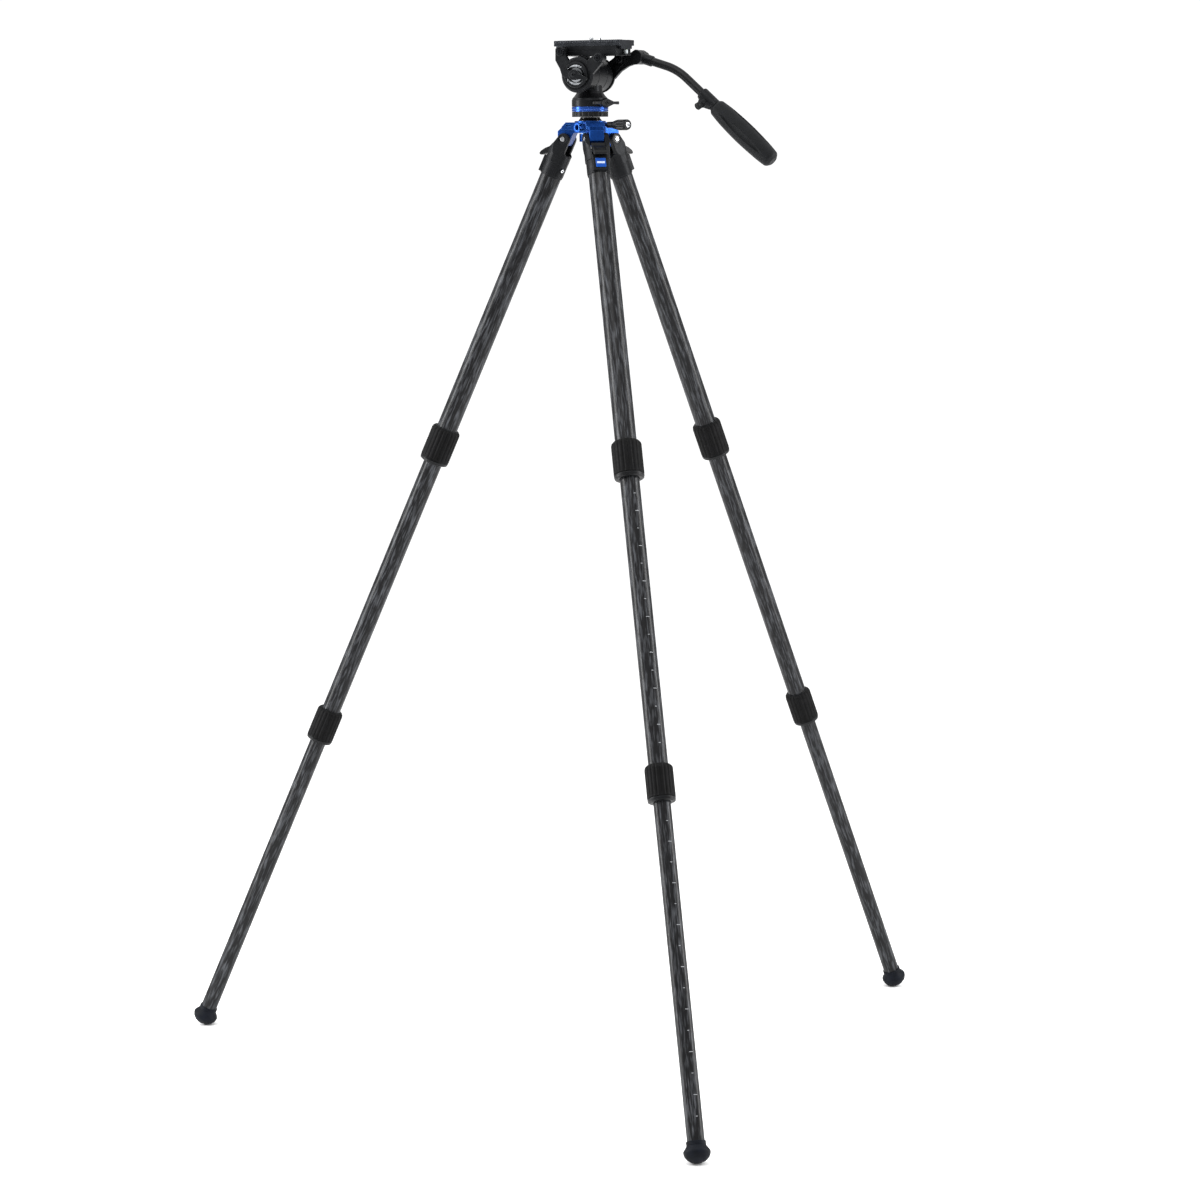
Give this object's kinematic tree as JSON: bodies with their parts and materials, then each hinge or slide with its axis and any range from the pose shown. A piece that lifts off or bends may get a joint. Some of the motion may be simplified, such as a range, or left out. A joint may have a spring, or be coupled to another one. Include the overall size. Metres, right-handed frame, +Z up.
{
  "type": "video tripod",
  "caption": "Three-legged video tripod with twist-lock telescoping legs, a levelling spider, and a pan and tilt fluid head with a sliding camera plate and a telescoping handle.",
  "frame": {"origin": "on the floor, under the centre of the bounding box; the tripod axis stands 167 mm towards +Y", "axes": "+Z up; the front leg points to -Y; the handle trails towards +X and -Y"},
  "size_m": [1.1956, 1.0408, 1.5715],
  "materials": {
    "carbon": "semi-gloss carbon fibre tube, streaked along its length",
    "cast_black": "black powder-coated casting",
    "satin_black": "satin black anodised",
    "lock_rubber": "matt fluted rubber",
    "foot_rubber": "matt blue-black rubber",
    "grip_rubber": "matt grooved rubber",
    "anodised_blue": "blue anodised",
    "badge_blue": "plain gloss badge",
    "steel": "machined bright steel",
    "brass": "turned brass",
    "level_vial": "clear tinted vial"
  },
  "bodies": {
    "spider": {"spider": "anodised_blue", "hinge_bolt_front": "steel", "hinge_bolt_right": "steel", "hinge_bolt_left": "steel"},
    "leg_front": {"leg_bracket_front": "cast_black", "upper_tube_front": "carbon", "leg_badge": "badge_blue"},
    "angle_tab_front": {"angle_tab_front": "satin_black"},
    "upper_lock_front": {"upper_lock_front": "lock_rubber"},
    "mid_front": {"mid_tube_front": "carbon"},
    "lower_lock_front": {"lower_lock_front": "lock_rubber"},
    "lower_front": {"lower_tube_front": "carbon", "foot_front": "foot_rubber"},
    "leg_right": {"leg_bracket_right": "cast_black", "upper_tube_right": "carbon"},
    "angle_tab_right": {"angle_tab_right": "satin_black"},
    "upper_lock_right": {"upper_lock_right": "lock_rubber"},
    "mid_right": {"mid_tube_right": "carbon"},
    "lower_lock_right": {"lower_lock_right": "lock_rubber"},
    "lower_right": {"lower_tube_right": "carbon", "foot_right": "foot_rubber"},
    "leg_left": {"leg_bracket_left": "cast_black", "upper_tube_left": "carbon"},
    "angle_tab_left": {"angle_tab_left": "satin_black"},
    "upper_lock_left": {"upper_lock_left": "lock_rubber"},
    "mid_left": {"mid_tube_left": "carbon"},
    "lower_lock_left": {"lower_lock_left": "lock_rubber"},
    "lower_left": {"lower_tube_left": "carbon", "foot_left": "foot_rubber"},
    "level_cup": {"level_cup": "brass"},
    "level_seat": {"level_ball": "satin_black", "level_disc": "cast_black", "head_ring": "anodised_blue"},
    "level_knob": {"level_knob": "satin_black", "level_spindle": "steel"},
    "pan": {"pan_housing": "satin_black"},
    "pan_lock": {"pan_lock": "cast_black"},
    "tilt": {"tilt_shaft": "steel", "side_plate_near": "satin_black", "side_plate_far": "satin_black", "drum_ring": "steel", "platform": "satin_black", "bubble_level": "level_vial", "platform_bolt_near_front": "steel", "platform_bolt_near_rear": "steel", "platform_bolt_far_front": "steel", "platform_bolt_far_rear": "steel"},
    "tilt_lock": {"tilt_lock": "satin_black"},
    "camera_plate": {"camera_plate": "cast_black", "locating_pin": "steel"},
    "camera_screw": {"camera_screw": "steel"},
    "plate_lock": {"plate_lock": "cast_black"},
    "safety_button": {"safety_button": "steel"},
    "bar": {"bar_hub": "cast_black", "pan_bar": "satin_black", "handle_collar": "cast_black"},
    "bar_clamp": {"bar_clamp": "satin_black"},
    "collar_knob": {"collar_knob": "satin_black"},
    "handle": {"handle_rod": "steel", "grip": "grip_rubber"}
  },
  "joints": [
    {"name": "leg_splay_front", "type": "hinge", "parent": "spider", "child": "leg_front", "pos_m": [0, 0.1282, 1.4187], "axis": [-1, 0, 0], "range_deg": [-24, 56]},
    {"name": "angle_tab_pull_front", "type": "slide", "parent": "leg_front", "child": "angle_tab_front", "axis": [0, -0.9122, 0.4098], "range_m": [0, 0.005], "stiffness_N_per_m": 300},
    {"name": "upper_lock_turn_front", "type": "hinge", "parent": "leg_front", "child": "upper_lock_front", "pos_m": [0, -0.08314, 0.94824], "axis": [0, -0.4098, -0.9122], "range_deg": [0, 90]},
    {"name": "mid_section_slide_front", "type": "slide", "parent": "leg_front", "child": "mid_front", "axis": [0, -0.4098, -0.9122], "range_m": [-0.415, 0]},
    {"name": "lower_lock_turn_front", "type": "hinge", "parent": "mid_front", "child": "lower_lock_front", "pos_m": [0, -0.28462, 0.49971], "axis": [0, -0.4098, -0.9122], "range_deg": [0, 90]},
    {"name": "lower_section_slide_front", "type": "slide", "parent": "mid_front", "child": "lower_front", "axis": [0, -0.4098, -0.9122], "range_m": [-0.475, 0]},
    {"name": "leg_splay_right", "type": "hinge", "parent": "spider", "child": "leg_right", "pos_m": [0.0336, 0.1864, 1.4187], "axis": [0.5, -0.866, 0], "range_deg": [-24, 56]},
    {"name": "angle_tab_pull_right", "type": "slide", "parent": "leg_right", "child": "angle_tab_right", "axis": [0.79, 0.4561, 0.4098], "range_m": [0, 0.005], "stiffness_N_per_m": 300},
    {"name": "upper_lock_turn_right", "type": "hinge", "parent": "leg_right", "child": "upper_lock_right", "pos_m": [0.21662, 0.29207, 0.94824], "axis": [0.3549, 0.2049, -0.9122], "range_deg": [0, 90]},
    {"name": "mid_section_slide_right", "type": "slide", "parent": "leg_right", "child": "mid_right", "axis": [0.3549, 0.2049, -0.9122], "range_m": [-0.415, 0]},
    {"name": "lower_lock_turn_right", "type": "hinge", "parent": "mid_right", "child": "lower_lock_right", "pos_m": [0.39111, 0.39281, 0.49971], "axis": [0.3549, 0.2049, -0.9122], "range_deg": [0, 90]},
    {"name": "lower_section_slide_right", "type": "slide", "parent": "mid_right", "child": "lower_right", "axis": [0.3549, 0.2049, -0.9122], "range_m": [-0.475, 0]},
    {"name": "leg_splay_left", "type": "hinge", "parent": "spider", "child": "leg_left", "pos_m": [-0.0336, 0.1864, 1.4187], "axis": [0.5, 0.866, 0], "range_deg": [-24, 56]},
    {"name": "angle_tab_pull_left", "type": "slide", "parent": "leg_left", "child": "angle_tab_left", "axis": [-0.79, 0.4561, 0.4098], "range_m": [0, 0.005], "stiffness_N_per_m": 300},
    {"name": "upper_lock_turn_left", "type": "hinge", "parent": "leg_left", "child": "upper_lock_left", "pos_m": [-0.21662, 0.29207, 0.94824], "axis": [-0.3549, 0.2049, -0.9122], "range_deg": [0, 90]},
    {"name": "mid_section_slide_left", "type": "slide", "parent": "leg_left", "child": "mid_left", "axis": [-0.3549, 0.2049, -0.9122], "range_m": [-0.415, 0]},
    {"name": "lower_lock_turn_left", "type": "hinge", "parent": "mid_left", "child": "lower_lock_left", "pos_m": [-0.39111, 0.39281, 0.49971], "axis": [-0.3549, 0.2049, -0.9122], "range_deg": [0, 90]},
    {"name": "lower_section_slide_left", "type": "slide", "parent": "mid_left", "child": "lower_left", "axis": [-0.3549, 0.2049, -0.9122], "range_m": [-0.475, 0]},
    {"name": "level_about_x", "type": "hinge", "parent": "spider", "child": "level_cup", "pos_m": [0, 0.167, 1.4395], "axis": [1, 0, 0], "range_deg": [-8, 8]},
    {"name": "level_about_y", "type": "hinge", "parent": "level_cup", "child": "level_seat", "pos_m": [0, 0.167, 1.4395], "axis": [0, 1, 0], "range_deg": [-8, 8]},
    {"name": "level_lock_turn", "type": "hinge", "parent": "spider", "child": "level_knob", "pos_m": [0.02723, 0.12507, 1.4395], "axis": [0.5446, -0.8387, 0], "range_deg": [0, 270]},
    {"name": "pan", "type": "hinge", "parent": "level_seat", "child": "pan", "pos_m": [0, 0.167, 1.47], "axis": [0, 0, 1], "continuous": true},
    {"name": "pan_lock_turn", "type": "hinge", "parent": "pan", "child": "pan_lock", "pos_m": [0.01701, 0.13527, 1.4727], "axis": [0.4726, -0.8813, 0], "range_deg": [0, 60]},
    {"name": "tilt", "type": "hinge", "parent": "pan", "child": "tilt", "pos_m": [-0.00156, 0.16825, 1.5148], "axis": [-0.6266, -0.7793, 0], "range_deg": [-45, 90]},
    {"name": "tilt_lock_turn", "type": "hinge", "parent": "tilt", "child": "tilt_lock", "pos_m": [-0.03289, 0.12929, 1.5148], "axis": [-0.6266, -0.7793, 0], "range_deg": [0, 90]},
    {"name": "camera_plate_slide", "type": "slide", "parent": "tilt", "child": "camera_plate", "axis": [0.7793, -0.6266, 0], "range_m": [-0.03, 0.03]},
    {"name": "camera_screw_turn", "type": "hinge", "parent": "camera_plate", "child": "camera_screw", "pos_m": [0.00265, 0.16487, 1.56], "axis": [0, 0, 1], "continuous": true},
    {"name": "plate_lock_turn", "type": "hinge", "parent": "tilt", "child": "plate_lock", "pos_m": [0.02159, 0.18428, 1.549], "axis": [0.6266, 0.7793, 0], "range_deg": [0, 50]},
    {"name": "safety_button_press", "type": "slide", "parent": "tilt", "child": "safety_button", "axis": [-0.6266, -0.7793, 0], "range_m": [0, 0.002], "stiffness_N_per_m": 400},
    {"name": "bar_angle", "type": "hinge", "parent": "tilt", "child": "bar", "pos_m": [0.07808, 0.16915, 1.5415], "axis": [0.6266, 0.7793, 0], "range_deg": [-60, 15]},
    {"name": "bar_clamp_turn", "type": "hinge", "parent": "bar", "child": "bar_clamp", "pos_m": [0.08585, 0.17882, 1.5415], "axis": [0.6266, 0.7793, 0], "range_deg": [-180, 0]},
    {"name": "collar_knob_turn", "type": "hinge", "parent": "bar", "child": "collar_knob", "pos_m": [0.15561, 0.09207, 1.46968], "axis": [-0.8106, -0.3312, -0.4829], "range_deg": [-180, 0]},
    {"name": "handle_extend", "type": "slide", "parent": "bar", "child": "handle", "axis": [0.5855, -0.4707, -0.66], "range_m": [0, 0.05]}
  ]
}
